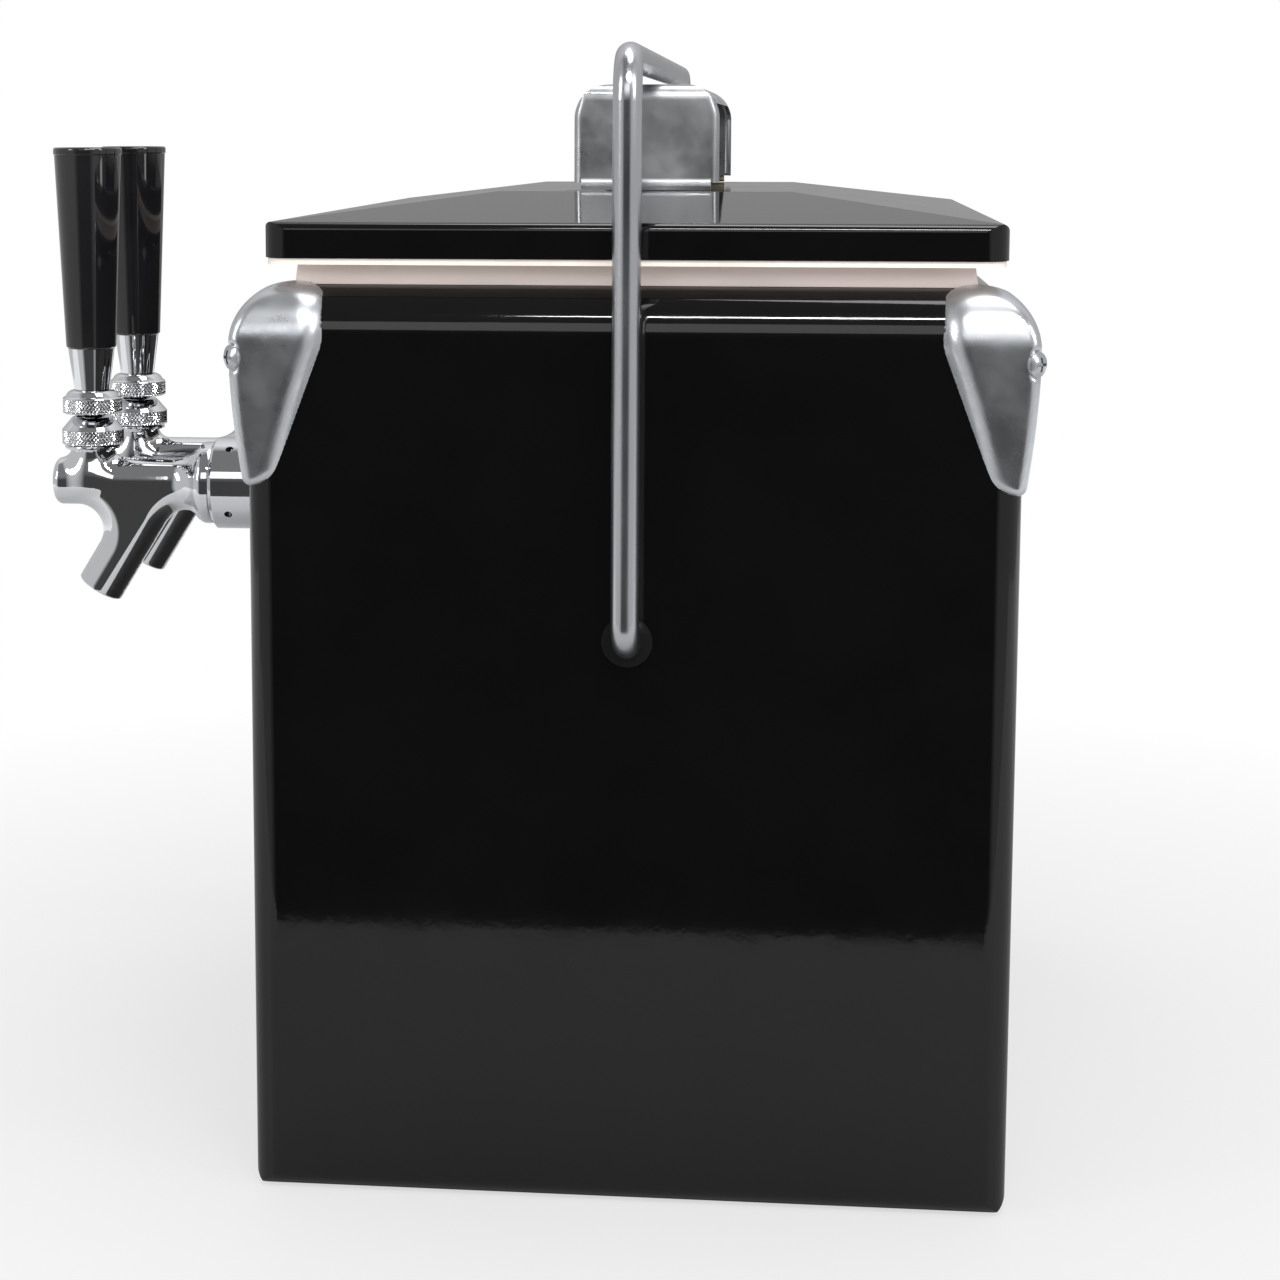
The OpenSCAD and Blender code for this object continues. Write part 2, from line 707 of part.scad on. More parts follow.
module lid_strap() color(zinc) {
    difference() {
        strap_form(0);
        strap_form(strap_t);
        translate([0, 0, lid_top - 1]) linear_extrude(foot_r + 2)
            square([strap_w - 2 * strap_t, strap_l - 2 * strap_t], center = true);
        rotate([90, 0, 90]) linear_extrude(strap_w + 2, center = true)
            side_outline(strap_l - 2 * lip_side, lid_top - 1, deck_z - lip_deck, 0, 6);
    }
    for (side = [-1, 1]) mirror([0, side > 0 ? 0 : 1, 0]) {
        rotate([90, 0, 90]) linear_extrude(strap_w - 6, center = true) strap_foot();
        translate([-tab_w / 2, strap_l / 2 - strap_t, lid_top - tab_drop])
            cube([tab_w, strap_t, tab_drop + foot_r + strap_t + 1]);
        translate([-tab_w / 2, strap_l / 2 - tab_in, lid_top - tab_drop]) cube([tab_w, tab_in, strap_t]);
    }
}

// ---- Faucets ----

// Barrel, rim and tail, turned about the tap's axis
module barrel_outline() {
    rounded_outline([[0, tail_x], [barrel_r, tail_x], [barrel_r, tap_reach], [0, tap_reach]],
                    [0, 0, nose_r, 0]);
    translate([0, tail_x]) square([tail_r, tail_l]);
    translate([0, tail_x + tail_l]) square([rim_r, rim_l]);
    difference() {
        translate([0, tail_x + tail_l + rim_l]) square([rim_r - 0.4, flare_run()]);
        translate([barrel_r + flare_r, tail_x + tail_l + rim_l + flare_run()]) circle(flare_r);
    }
}

// Length of the flare from the rim to where it meets the barrel
function flare_run() = sqrt(flare_r * flare_r - pow(flare_r + barrel_r - rim_r + 0.4, 2));

// Centre of an arc that touches the barrel's underside and one side of the spout
function arc_centre(r, side) =
    [spout_x + (side * (spout_r + r) + (barrel_r + r) * spout_side[1]) / spout_side[0], -barrel_r - r];

module spout_web() {
    front = arc_centre(front_arc_r, 1);
    rear = arc_centre(rear_arc_r, -1);
    difference() {
        polygon([[front[0], 0], [front[0], -barrel_r], front - front_arc_r * spout_side,
                 rear + rear_arc_r * spout_side, [rear[0], -barrel_r], [rear[0], 0]]);
        translate(front) circle(front_arc_r);
        translate(rear) circle(rear_arc_r);
    }
}

module spout_bar(r, start, end) translate([spout_x, 0, 0]) rotate([0, 180 - spout_tilt, 0])
    translate([0, 0, start]) cylinder(r = r, h = end - start);

module faucet_body(side) color(chrome) at_tap(side) difference() {
    union() {
        along_x() rotate_extrude() barrel_outline();
        translate([lever_x, 0, 0]) {
            cylinder(r = neck_r, h = step_z + 0.1);
            translate([0, 0, step_z]) cylinder(r = step_r, h = step_h);
            cylinder(r = neck_thread_r - 2, h = step_z);
            translate([0, 0, step_z]) cylinder(r = neck_thread_r, h = neck_top - step_z);
        }
        spout_bar(spout_r, 0, spout_l);
        rotate([90, 0, 0]) linear_extrude(web_t, center = true) spout_web();
    }
    translate([seat_x, 0, 0]) along_x() cylinder(r = seat_r, h = seat_l + 1);
    translate([tail_x - 1, 0, 0]) along_x() cylinder(r = chamber_r, h = seat_x - tail_x + 1);
    translate([seat_x + seat_l, 0, 0]) along_x() cylinder(r = bore_r, h = tap_reach - 5.5 - seat_x - seat_l);
    translate([lever_x, 0, 0]) cylinder(r = neck_bore_r, h = step_z + 1);
    translate([lever_x, 0, step_z + 0.1]) cylinder(r = ball_r + fit, h = neck_top);
    spout_bar(spout_bore_r - 0.8, 0, spout_l + 5);
    spout_bar(spout_bore_r, spout_l - mouth_l, spout_l + 5);
}

module bonnet(side) color(chrome) at_lever(side) rotate_extrude()
    polygon([[neck_thread_r + fit, bonnet_z], [bonnet_r - 0.5, bonnet_z], [bonnet_r, bonnet_z + 0.5],
             [bonnet_r, bonnet_z + bonnet_h], [bonnet_top_r, bonnet_top], [mouth_r, bonnet_top],
             [lip_r, lip_z], [ball_r + 0.15, neck_top + gap], [neck_thread_r + fit, neck_top + gap]]);

module lever(side) color(zinc) at_lever(side) {
    translate([0, 0, tip_z]) sphere(tip_r);
    translate([0, 0, tip_z]) cylinder(r1 = stem_r, r2 = stem_r + 0.8, h = 9 - tip_z);
    translate([0, 0, 9]) cylinder(r = stem_r + 0.8, h = pivot_rise - 9);
    translate([0, 0, pivot_rise]) sphere(ball_r);
    translate([0, 0, pivot_rise]) cylinder(r = lever_neck_r, h = stud_z - pivot_rise + 1);
    translate([0, 0, stud_z]) cylinder(r = stud_r, h = stud_top - stud_z);
}

module lever_collar(side) color(chrome) at_lever(side) translate([0, 0, lever_collar_z]) difference() {
    rotate_extrude() difference() {
        union() {
            rounded_outline([[0, 0], [collar_r, 0], [collar_r, collar_h], [0, collar_h]], [0, 0.4, 0.4, 0]);
            polygon([[0, collar_h - 1], [collar_r - 0.8, collar_h - 1], [collar_r - 0.8, collar_h],
                     [ferrule_r1 + 1.6, collar_h + collar_dome_h], [0, collar_h + collar_dome_h]]);
        }
        polygon([[0, -1], [collar_recess_r, -1], [collar_recess_r, 0],
                 [stud_r + 0.8, collar_recess_h], [0, collar_recess_h]]);
    }
    cylinder(r = stud_r + fit, h = 30);
}

module ferrule(side) color(chrome) at_lever(side) translate([0, 0, ferrule_z]) difference() {
    cylinder(r1 = ferrule_r1, r2 = ferrule_r2, h = ferrule_top - ferrule_z);
    translate([0, 0, -1]) cylinder(r = stud_r + fit, h = 30);
}

module tap_handle(side) color(black) at_lever(side) translate([0, 0, handle_foot]) difference() {
    rotate_extrude() {
        rounded_outline([[0, 0], [handle_r1, 0], [handle_r2 - 0.35, handle_h - 3],
                         [handle_r2 - 0.35, handle_h - 1], [0, handle_h - 1]], [0, 0.8, 0, 0, 0]);
        rounded_outline([[0, handle_h - 3], [handle_r2, handle_h - 3], [handle_r2, handle_h], [0, handle_h]],
                        [0, 0.5, 1, 0]);
    }
    translate([0, 0, -1]) cylinder(r = stud_r + fit, h = stud_top - handle_foot + 2);
    translate([0, 0, handle_h - 0.8]) cylinder(r = handle_r2 - 2, h = 2);
}

module valve_shaft(side) color(zinc) at_tap(side) difference() {
    union() {
        translate([lever_x + yoke_out - yoke_l, 0, 0]) along_x() cylinder(r = yoke_r, h = yoke_l);
        translate([seat_x - gap - washer_t, 0, 0]) along_x()
            cylinder(r = shaft_r, h = lever_x + yoke_out - yoke_l + 1 - seat_x + gap + washer_t);
        translate([seat_x - gap - washer_t - seam - shaft_nut_l, 0, 0]) along_x()
            cylinder(r = shaft_nut_r, h = shaft_nut_l);
        translate([seat_x - gap - washer_t - seam - 0.1, 0, 0]) along_x() cylinder(r = shaft_r, h = 1);
    }
    translate([lever_x - yoke_l, -yoke_r - 1, yoke_flat_z]) cube([2 * yoke_l, 2 * yoke_r + 2, yoke_r]);
    translate([lever_x - slot_half, -yoke_r - 1, tip_z - slot_half])
        cube([2 * slot_half, 2 * yoke_r + 2, yoke_r]);
}

module seat_washer(side) color(rubber) at_tap(side)
    translate([seat_x - gap - washer_t, 0, 0]) along_x() ring(washer_r, shaft_r + fit, washer_t);

module coupling_nut(side) color(chrome) at_tap(side) difference() {
    translate([nut_back, 0, 0]) along_x() rotate_extrude() polygon([
        [shank_r + fit, 0], [nut_d / 2 - 1.5, 0], [nut_d / 2, 1.5], [nut_d / 2, nut_l - 1.5],
        [nut_d / 2 - 1.5, nut_l], [tail_r + fit, nut_l], [tail_r + fit, 4.8], [shank_r + fit, 4.8]]);
    for (turn = [0:3]) rotate([36 + 90 * turn, 0, 0]) translate([nut_reach - 8, 0, 0]) rotate([90, 0, 0])
        cylinder(r = 1.6, h = nut_d);
}

module coupling_washers() color(rubber) for (side = [LEFT, RIGHT]) at_tap(side)
    translate([gasket_x + 0.1, 0, 0]) along_x() ring(tail_r - 0.2, bore_r, tail_x - gasket_x - 0.2);

module shank(side) color(chrome) at_tap(side) difference() {
    union() {
        translate([shank_end, 0, 0]) along_x() cylinder(r = shank_r, h = gasket_x - shank_end);
        translate([collar_x, 0, 0]) along_x() cylinder(r = tail_r - 0.1, h = gasket_x - collar_x);
    }
    translate([shank_end - 1, 0, 0]) along_x() cylinder(r = beer_way_r, h = gasket_x - shank_end + 2);
}

module wall_flange(side) color(chrome) at_tap(side) translate([0.1, 0, 0]) along_x() rotate_extrude()
    rounded_outline([[shank_r + fit, 0], [flange_r, 0], [flange_r, flange_t], [shank_r + fit, flange_t]],
                    [0, 0, flange_t * 0.45, 0]);

module lock_washers() color(rubber) for (side = [LEFT, RIGHT]) at_tap(side)
    translate([washer_x - lock_washer_t, 0, 0]) along_x() ring(lock_washer_r, shank_r + fit, lock_washer_t);

module lock_nut(side) color(zinc) at_tap(side) hex_nut(lock_nut_af, shank_r + fit, lock_nut_x, lock_nut_l);

module tail_nut(side) color(chrome) at_tap(side) difference() {
    hex_nut(tail_nut_af, tube_d / 2 + 0.4, tail_nut_end + tail_nut_l, tail_nut_l);
    translate([shank_end - elbow_flange_t - 2 * seam, 0, 0]) along_x()
        cylinder(r = shank_r + fit, h = tail_nut_l);
}

// Elbow from the shank's end, turned down towards the coil
module tail_elbow(side) color(zinc) at_tap(side) difference() {
    union() {
        translate([shank_end - seam - elbow_flange_t, 0, 0]) along_x()
            cylinder(r = elbow_flange_r, h = elbow_flange_t);
        elbow_path(tube_d / 2, 0);
    }
    elbow_path(elbow_bore_r, 1);
}

module elbow_path(r, extra) {
    translate([elbow_x, 0, 0]) along_x() cylinder(r = r, h = shank_end - seam - elbow_x + extra);
    translate([elbow_x, 0, -elbow_bend_r]) rotate([90, 0, 0]) rotate([0, 0, 90])
        rotate_extrude(angle = 90) translate([elbow_bend_r, 0]) circle(r);
    translate([elbow_x - elbow_bend_r, 0, -elbow_drop - extra])
        cylinder(r = r, h = elbow_drop - elbow_bend_r + extra);
}

// ---- Beer inlets ----

module beer_inlet(side) color(chrome) at_inlet(inlet_at(side)) difference() {
    union() {
        hex_nut(inlet_hex_af, beer_way_r, 0.1 + inlet_hex_l, inlet_hex_l);
        translate([inlet_hex_l, 0, 0]) along_x() cylinder(r = inlet_thread_r, h = inlet_thread_l);
        translate([inlet_end + 9, 0, 0]) along_x() cylinder(r = inlet_body_r, h = -inlet_end - 8);
        translate([inlet_end, 0, 0]) along_x() cylinder(r = nipple_r, h = 12);
    }
    translate([inlet_end - 1, 0, 0]) along_x() cylinder(r = beer_way_r, h = 100);
}

module inlet_washers() color(rubber) for (side = [LEFT, RIGHT]) at_inlet(inlet_at(side))
    translate([washer_x - inlet_washer_t, 0, 0]) along_x()
        ring(inlet_nut_af / 2, inlet_body_r + fit, inlet_washer_t);

module inlet_nuts() color(zinc) for (side = [LEFT, RIGHT]) at_inlet(inlet_at(side))
    hex_nut(inlet_nut_af, inlet_body_r + fit, washer_x - inlet_washer_t - seam, inlet_nut_l);

// ---- Coils ----

// One coil winds up from its inlet's run to the tap's elbow. The left one turns one way
// and the right one the other, so both runs leave along the length of the liner.
coil_z = tub_floor + tube_d / 2 + gap;
run_y = body_l / 2 + inlet_end - 0.1;
elbow_end = [-body_w / 2 - (elbow_x - elbow_bend_r), tap_pitch / 2, tap_z - elbow_drop - 0.1];
loop_steps = 24;

function bezier(a, b, c, d, t) =
    a * pow(1 - t, 3) + b * 3 * t * pow(1 - t, 2) + c * 3 * t * t * (1 - t) + d * pow(t, 3);
function curve(a, b, c, d, steps) = [for (i = [1:steps]) bezier(a, b, c, d, i / steps)];

function coil_centre(side) = [-side * coil_shift, side * coil_y];
function coil_loops(side) = side == LEFT ? coil_turns : coil_turns + 0.5;
function helix_point(side, turn) =
    let (a = side == LEFT ? 180 + 360 * turn : -360 * turn, c = coil_centre(side))
    [c[0] + coil_r * cos(a), c[1] + coil_r * sin(a), coil_z + coil_pitch * turn];

function coil_path(side) =
    let (inlet = [inlet_at(side), run_y, inlet_z],
         after = inlet - [0, tube_d, 0],
         foot = helix_point(side, 0),
         drop = [foot[0], run_y - 32, foot[2]],
         run_steps = ceil(norm(foot - drop) / 30),
         count = coil_loops(side) * loop_steps,
         last = helix_point(side, coil_loops(side)),
         elbow = [elbow_end[0], side * elbow_end[1], elbow_end[2]],
         before = elbow - [0, 0, tube_d],
         lead = -side * 30)
    concat([inlet, after],
           curve(after, after - [0, 11, 0], drop + [0, 11, 0], drop, 8),
           [for (i = [1:run_steps]) drop + (foot - drop) * i / run_steps],
           [for (i = [1:count]) helix_point(side, i / loop_steps)],
           curve(last, last + [0, lead, 2], before - [0, 0, 40], before, 10),
           [elbow]);

// Directions along a path, and a frame carried along it without twist
function directions(p) = [for (i = [0:len(p) - 1]) unit(p[min(i + 1, len(p) - 1)] - p[max(i - 1, 0)])];
function carried(t) = [for (i = 0, n = [1, 0, 0]; i < len(t);
                            i = i + 1, n = i < len(t) ? unit(n - (n * t[i]) * t[i]) : n) n];

module swept_tube(path, r, sides) {
    t = directions(path);
    n = carried(t);
    last = len(path) - 1;
    points = [for (i = [0:last]) let (across = cross(t[i], n[i])) for (k = [0:sides - 1])
        path[i] + r * (cos(360 * k / sides) * n[i] + sin(360 * k / sides) * across)];
    skin = [for (i = [0:last - 1], k = [0:sides - 1])
        let (a = i * sides + k, b = i * sides + (k + 1) % sides)
        each [[a, b + sides, b], [a, a + sides, b + sides]]];
    caps = [for (k = [1:sides - 2]) each [[0, k, k + 1],
            [last * sides, last * sides + k + 1, last * sides + k]]];
    polyhedron(points, concat(skin, caps), convexity = 10);
}

// Least gap from a tube to itself, measured between path points that are far apart along it
function least_gap(p, d) = min([for (i = [0:2:len(p) - 1], j = [i + loop_steps / 2:1:len(p) - 1])
    norm(p[i] - p[j])]) - d;

module coil(side) color(chrome) {
    path = coil_path(side);
    echo(str(side == LEFT ? "left" : "right", " coil: least gap to itself ", least_gap(path, tube_d), " mm"));
    swept_tube(path, tube_d / 2, 6);
}

// ---- Nodes ----

outer_shell();
foam_insulation();
inner_liner();
corner_cover(-1, 1);  // corner_cover_front_left
corner_cover(-1, -1);  // corner_cover_front_right
corner_cover(1, 1);  // corner_cover_rear_left
corner_cover(1, -1);  // corner_cover_rear_right
corner_screws();
pivot_bushing(LEFT);  // pivot_bushing_left
pivot_bushing(RIGHT);  // pivot_bushing_right
carry_handle();
lid_shell();
lid_foam();
lid_liner();
lid_gasket();
lid_strap();
faucet_body(LEFT);  // faucet_body_left
faucet_body(RIGHT);  // faucet_body_right
bonnet(LEFT);  // bonnet_left
bonnet(RIGHT);  // bonnet_right
lever(LEFT);  // lever_left
lever(RIGHT);  // lever_right
valve_shaft(LEFT);  // valve_shaft_left
valve_shaft(RIGHT);  // valve_shaft_right
seat_washer(LEFT);  // seat_washer_left
seat_washer(RIGHT);  // seat_washer_right
coupling_nut(LEFT);  // coupling_nut_left
coupling_nut(RIGHT);  // coupling_nut_right
coupling_washers();
shank(LEFT);  // shank_left
shank(RIGHT);  // shank_right
wall_flange(LEFT);  // wall_flange_left
wall_flange(RIGHT);  // wall_flange_right
lock_washers();
lock_nut(LEFT);  // lock_nut_left
lock_nut(RIGHT);  // lock_nut_right
tail_nut(LEFT);  // tail_nut_left
tail_nut(RIGHT);  // tail_nut_right
tail_elbow(LEFT);  // tail_elbow_left
tail_elbow(RIGHT);  // tail_elbow_right
lever_collar(LEFT);  // lever_collar_left
lever_collar(RIGHT);  // lever_collar_right
ferrule(LEFT);  // ferrule_left
ferrule(RIGHT);  // ferrule_right
tap_handle(LEFT);  // tap_handle_left
tap_handle(RIGHT);  // tap_handle_right
coil(LEFT);  // coil_left
coil(RIGHT);  // coil_right
beer_inlet(LEFT);  // beer_inlet_left
beer_inlet(RIGHT);  // beer_inlet_right
inlet_nuts();
inlet_washers();
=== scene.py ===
"""Looks for the two-tap jockey box: materials for every CAD node, chrome faucet bodies with blended surfaces,
knurled bonnets and collars, pressed corner covers, a rolled lid strap, and a plain white studio. Metres, in
the CAD's frame, unless a section says millimetres."""

import json
import math

import bmesh
import bpy
import numpy as np
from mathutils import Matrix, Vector


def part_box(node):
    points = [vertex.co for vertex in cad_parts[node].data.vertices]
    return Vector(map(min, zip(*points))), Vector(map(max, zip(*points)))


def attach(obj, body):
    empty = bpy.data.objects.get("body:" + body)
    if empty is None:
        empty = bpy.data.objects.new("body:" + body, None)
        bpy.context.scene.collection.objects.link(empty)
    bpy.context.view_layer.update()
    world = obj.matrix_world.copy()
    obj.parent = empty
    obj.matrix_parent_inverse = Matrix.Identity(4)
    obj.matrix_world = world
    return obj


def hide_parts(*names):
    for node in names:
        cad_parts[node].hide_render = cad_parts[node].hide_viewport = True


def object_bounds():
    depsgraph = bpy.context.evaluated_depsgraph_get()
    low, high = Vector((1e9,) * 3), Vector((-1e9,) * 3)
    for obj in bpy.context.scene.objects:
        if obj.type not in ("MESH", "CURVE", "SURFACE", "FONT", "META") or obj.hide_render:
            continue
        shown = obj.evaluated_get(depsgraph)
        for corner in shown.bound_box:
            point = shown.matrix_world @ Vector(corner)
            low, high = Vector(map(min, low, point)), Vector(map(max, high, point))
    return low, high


MM = 0.001
SIDES = ("left", "right")

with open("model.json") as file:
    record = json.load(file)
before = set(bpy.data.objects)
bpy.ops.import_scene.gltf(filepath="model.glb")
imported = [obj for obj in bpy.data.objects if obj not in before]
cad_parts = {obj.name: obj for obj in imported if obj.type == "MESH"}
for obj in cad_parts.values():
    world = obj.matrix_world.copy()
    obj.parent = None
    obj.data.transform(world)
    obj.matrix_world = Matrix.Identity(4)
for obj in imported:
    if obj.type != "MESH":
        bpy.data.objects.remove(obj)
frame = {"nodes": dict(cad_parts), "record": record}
nodes = frame["nodes"]
cad_low, cad_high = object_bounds()


# ---- Materials ----

class Nodes:
    """Short calls for building one material's or world's node tree."""

    def __init__(self, tree):
        self.tree = tree
        tree.nodes.clear()

    def add(self, kind, inputs=None, **settings):
        node = self.tree.nodes.new(kind)
        for key, value in settings.items():
            setattr(node, key, value)
        for key, value in (inputs or {}).items():
            if isinstance(value, bpy.types.NodeSocket):
                self.tree.links.new(value, node.inputs[key])
            else:
                node.inputs[key].default_value = value
        return node

    def math(self, operation, a, b=0.0):
        return self.add("ShaderNodeMath", {0: a, 1: b}, operation=operation).outputs[0]

    def noise(self, where, scale, detail=3.0, roughness=0.55):
        return self.add("ShaderNodeTexNoise", {"Vector": where, "Scale": scale, "Detail": detail,
                                               "Roughness": roughness}).outputs["Fac"]

    def spread(self, value, low, high, start=0.3, end=0.7):
        """value from start to end becomes low to high"""
        return self.add("ShaderNodeMapRange", {"Value": value, "From Min": start, "From Max": end,
                                               "To Min": low, "To Max": high}).outputs["Result"]

    def blend(self, factor, a, b):
        node = self.add("ShaderNodeMix", data_type="RGBA")
        for key, value in (("Factor", factor), ("A", a), ("B", b)):
            socket = [s for s in node.inputs if s.name == key and s.enabled][0]
            if isinstance(value, bpy.types.NodeSocket):
                self.tree.links.new(value, socket)
            else:
                socket.default_value = value
        return [s for s in node.outputs if s.enabled][0]

    def stretched(self, where, scale):
        return self.add("ShaderNodeMapping", {"Vector": where, "Scale": scale}).outputs["Vector"]


def rgba(colour):
    return (*colour, 1.0)


def surface(name, colour, rough, metallic=0.0, tint=None, tint_scale=12.0, rough_scale=60.0,
            bumps=(), grain=(1, 1, 1), ior=1.5, coat=0.0):
    """A material whose colour drifts between colour and tint, whose roughness varies over rough,
    and whose bumps are (scale per metre, height in metres)."""
    material = bpy.data.materials.new(name)
    material.use_nodes = True
    n = Nodes(material.node_tree)
    where = n.stretched(n.add("ShaderNodeTexCoord").outputs["Object"], grain)
    shader = n.add("ShaderNodeBsdfPrincipled", {"Metallic": metallic, "IOR": ior, "Coat Weight": coat,
                                                "Coat Roughness": 0.03})
    if tint:
        drift = n.spread(n.noise(where, tint_scale, 5.0, 0.6), 0.0, 1.0)
        n.tree.links.new(n.blend(drift, rgba(colour), rgba(tint)), shader.inputs["Base Color"])
    else:
        shader.inputs["Base Color"].default_value = rgba(colour)
    n.tree.links.new(n.spread(n.noise(where, rough_scale, 4.0), *rough), shader.inputs["Roughness"])
    normal = None
    for scale, height in bumps:
        inputs = {"Height": n.noise(where, scale, 2.0), "Distance": height, "Strength": 1.0}
        if normal:
            inputs["Normal"] = normal
        normal = n.add("ShaderNodeBump", inputs).outputs["Normal"]
    if normal:
        n.tree.links.new(normal, shader.inputs["Normal"])
    out = n.add("ShaderNodeOutputMaterial")
    n.tree.links.new(shader.outputs[0], out.inputs[0])
    return material


ENAMEL = surface("gloss_black_enamel", (0.0016, 0.0016, 0.0019), (0.04, 0.08), tint=(0.0024, 0.0024, 0.0027),
                 tint_scale=25.0, bumps=((260.0, 0.00001), (45.0, 0.00004)), ior=1.45)
CHROME = surface("polished_chrome", (0.77, 0.78, 0.80), (0.025, 0.06), 1.0, tint=(0.72, 0.73, 0.76),
                 bumps=((300.0, 0.000004),))
PLATED = surface("bright_zinc_plate", (0.56, 0.575, 0.60), (0.16, 0.30), 1.0, tint=(0.44, 0.45, 0.48),
                 tint_scale=40.0, rough_scale=120.0, bumps=((500.0, 0.00001),), grain=(1, 0.12, 0.12))
COVER_STEEL = surface("satin_cover_steel", (0.66, 0.68, 0.71), (0.22, 0.36), 1.0, tint=(0.52, 0.535, 0.56),
                      tint_scale=30.0, rough_scale=60.0, bumps=((700.0, 0.00001), (45.0, 0.00012)))
STRAP_STEEL = surface("dull_strap_steel", (0.58, 0.59, 0.61), (0.26, 0.46), 1.0, tint=(0.34, 0.345, 0.355),
                      tint_scale=22.0, rough_scale=60.0, bumps=((600.0, 0.00001), (40.0, 0.00012)))
DRAWN_STEEL = surface("drawn_stainless", (0.58, 0.59, 0.60), (0.18, 0.30), 1.0, tint=(0.48, 0.49, 0.50),
                      tint_scale=80.0, bumps=((600.0, 0.00001),))
COLLAR_PLASTIC = surface("collar_plastic", (0.80, 0.69, 0.65), (0.32, 0.45), tint=(0.73, 0.63, 0.59),
                         tint_scale=14.0, bumps=((900.0, 0.00002), (60.0, 0.00005)))
CREAM_PLASTIC = surface("cream_plastic", (0.84, 0.76, 0.69), (0.30, 0.42), tint=(0.80, 0.72, 0.65),
                        tint_scale=14.0, bumps=((900.0, 0.00002),))
GASKET_RUBBER = surface("cream_gasket_rubber", (0.66, 0.60, 0.55), (0.60, 0.75), tint=(0.60, 0.55, 0.50),
                        bumps=((1200.0, 0.00003),))
HANDLE_PLASTIC = surface("gloss_handle_plastic", (0.006, 0.006, 0.007), (0.05, 0.10),
                         tint=(0.010, 0.010, 0.011), tint_scale=30.0, bumps=((150.0, 0.00001),), coat=0.4)
NYLON = surface("black_nylon", (0.006, 0.006, 0.0065), (0.18, 0.28), tint=(0.009, 0.009, 0.0095),
                bumps=((1500.0, 0.00002),))
RUBBER = surface("black_rubber", (0.02, 0.02, 0.02), (0.60, 0.80), tint=(0.03, 0.03, 0.03),
                 bumps=((1500.0, 0.00003),))
FOAM = surface("rigid_foam", (0.72, 0.60, 0.36), (0.80, 0.95), tint=(0.62, 0.50, 0.28), tint_scale=60.0,
               bumps=((800.0, 0.0002),))

BY_SLOT = {"black_enamel": ENAMEL, "foam": FOAM, "liner_plastic": COLLAR_PLASTIC,
           "cream_plastic": CREAM_PLASTIC, "cream_rubber": GASKET_RUBBER, "satin_steel": COVER_STEEL,
           "dull_steel": STRAP_STEEL, "zinc_plate": PLATED, "polished_chrome": CHROME,
           "coil_steel": DRAWN_STEEL, "handle_plastic": HANDLE_PLASTIC, "black_nylon": NYLON,
           "black_rubber": RUBBER}
BY_NODE = {"carry_handle": PLATED, "valve_shaft_left": DRAWN_STEEL, "valve_shaft_right": DRAWN_STEEL,
           "tail_elbow_left": DRAWN_STEEL, "tail_elbow_right": DRAWN_STEEL}

SHARP = math.radians(32)
COIL_SHARP = math.radians(50)


def smooth_facets(node):
    """Smooth shading for a node that came as flat facets, such as a wound tube"""
    mesh = node.data
    if "custom_normal" in mesh.attributes:
        mesh.attributes.remove(mesh.attributes["custom_normal"])
    mesh.polygons.foreach_set("use_smooth", [True] * len(mesh.polygons))
    weld = node.modifiers.new("weld", "WELD")
    weld.merge_threshold = 2e-6
    split = node.modifiers.new("edges", "EDGE_SPLIT")
    split.split_angle = COIL_SHARP
    split.use_edge_sharp = False


for part in frame["record"]["subparts"]:
    node = nodes[part["node"]]
    node.data.materials.clear()
    node.data.materials.append(BY_NODE.get(part["node"], BY_SLOT[part["material_slot"]]))
    if part["node"].startswith("coil_"):
        smooth_facets(node)


def shade(mesh):
    mesh.polygons.foreach_set("use_smooth", [True] * len(mesh.polygons))
    mesh.set_sharp_from_angle(angle=SHARP)


def new_piece(name, vertices, faces, material, slot, body, *stands_for):
    """A piece from vertices in metres, riding on a body, in the place of the CAD nodes it stands for."""
    mesh = bpy.data.meshes.new(name)
    mesh.from_pydata([tuple(v) for v in vertices], [], [tuple(f) for f in faces])
    mesh.validate()
    mesh.update()
    mesh.materials.append(material)
    obj = bpy.data.objects.new(name, mesh)
    bpy.context.scene.collection.objects.link(obj)
    shade(mesh)
    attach(obj, body)
    if stands_for:
        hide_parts(*stands_for)
    return obj


# ---- Taps ----
# Lengths in millimetres, as in the CAD: out from the front wall, sideways, and up from the tap's axis.

WALL_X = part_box("outer_shell")[0][0]
NUTS = {side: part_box("coupling_nut_" + side) for side in SIDES}
TAP_Z = (NUTS["left"][0][2] + NUTS["left"][1][2]) / 2
TAP_Y = {side: (NUTS[side][0][1] + NUTS[side][1][1]) / 2 for side in SIDES}

BARREL_R = 9.6
REACH = 108.5           # nose of the barrel
LEVER_X = 93.0
SPOUT_X = 64.0          # where the spout's axis leaves the barrel's
SPOUT_L = 51.8
SPOUT_TILT = math.radians(31.5)
MOUTH_R, MOUTH_L = 6.5, 22.0
SPOUT_BORE_R = 5.7
BARREL_BORES = ((8.0, 20.0, 45.0), (4.8, 44.0, 49.0), (6.8, 48.0, 103.0))   # radius, start and end
NECK_BORES = ((7.0, 0.0, 15.0), (8.4, 13.6, 30.0))
FRONT_ARC, REAR_ARC = 10.3, 17.0
RIM_R, RIM_X0, RIM_X1 = 16.3, 42.0, 46.4
TAIL_R, TAIL_X = 14.2, 33.6
NECK_R, NECK_TOP = 8.75, 13.5
STEP_R, STEP_TOP = 11.45, 15.3
THREAD_R, THREAD_TOP = 10.15, 18.3
NOSE_R = 3.0            # rounding of the barrel's nose
RIM_FILLET, NECK_FILLET = 14.0, 5.0
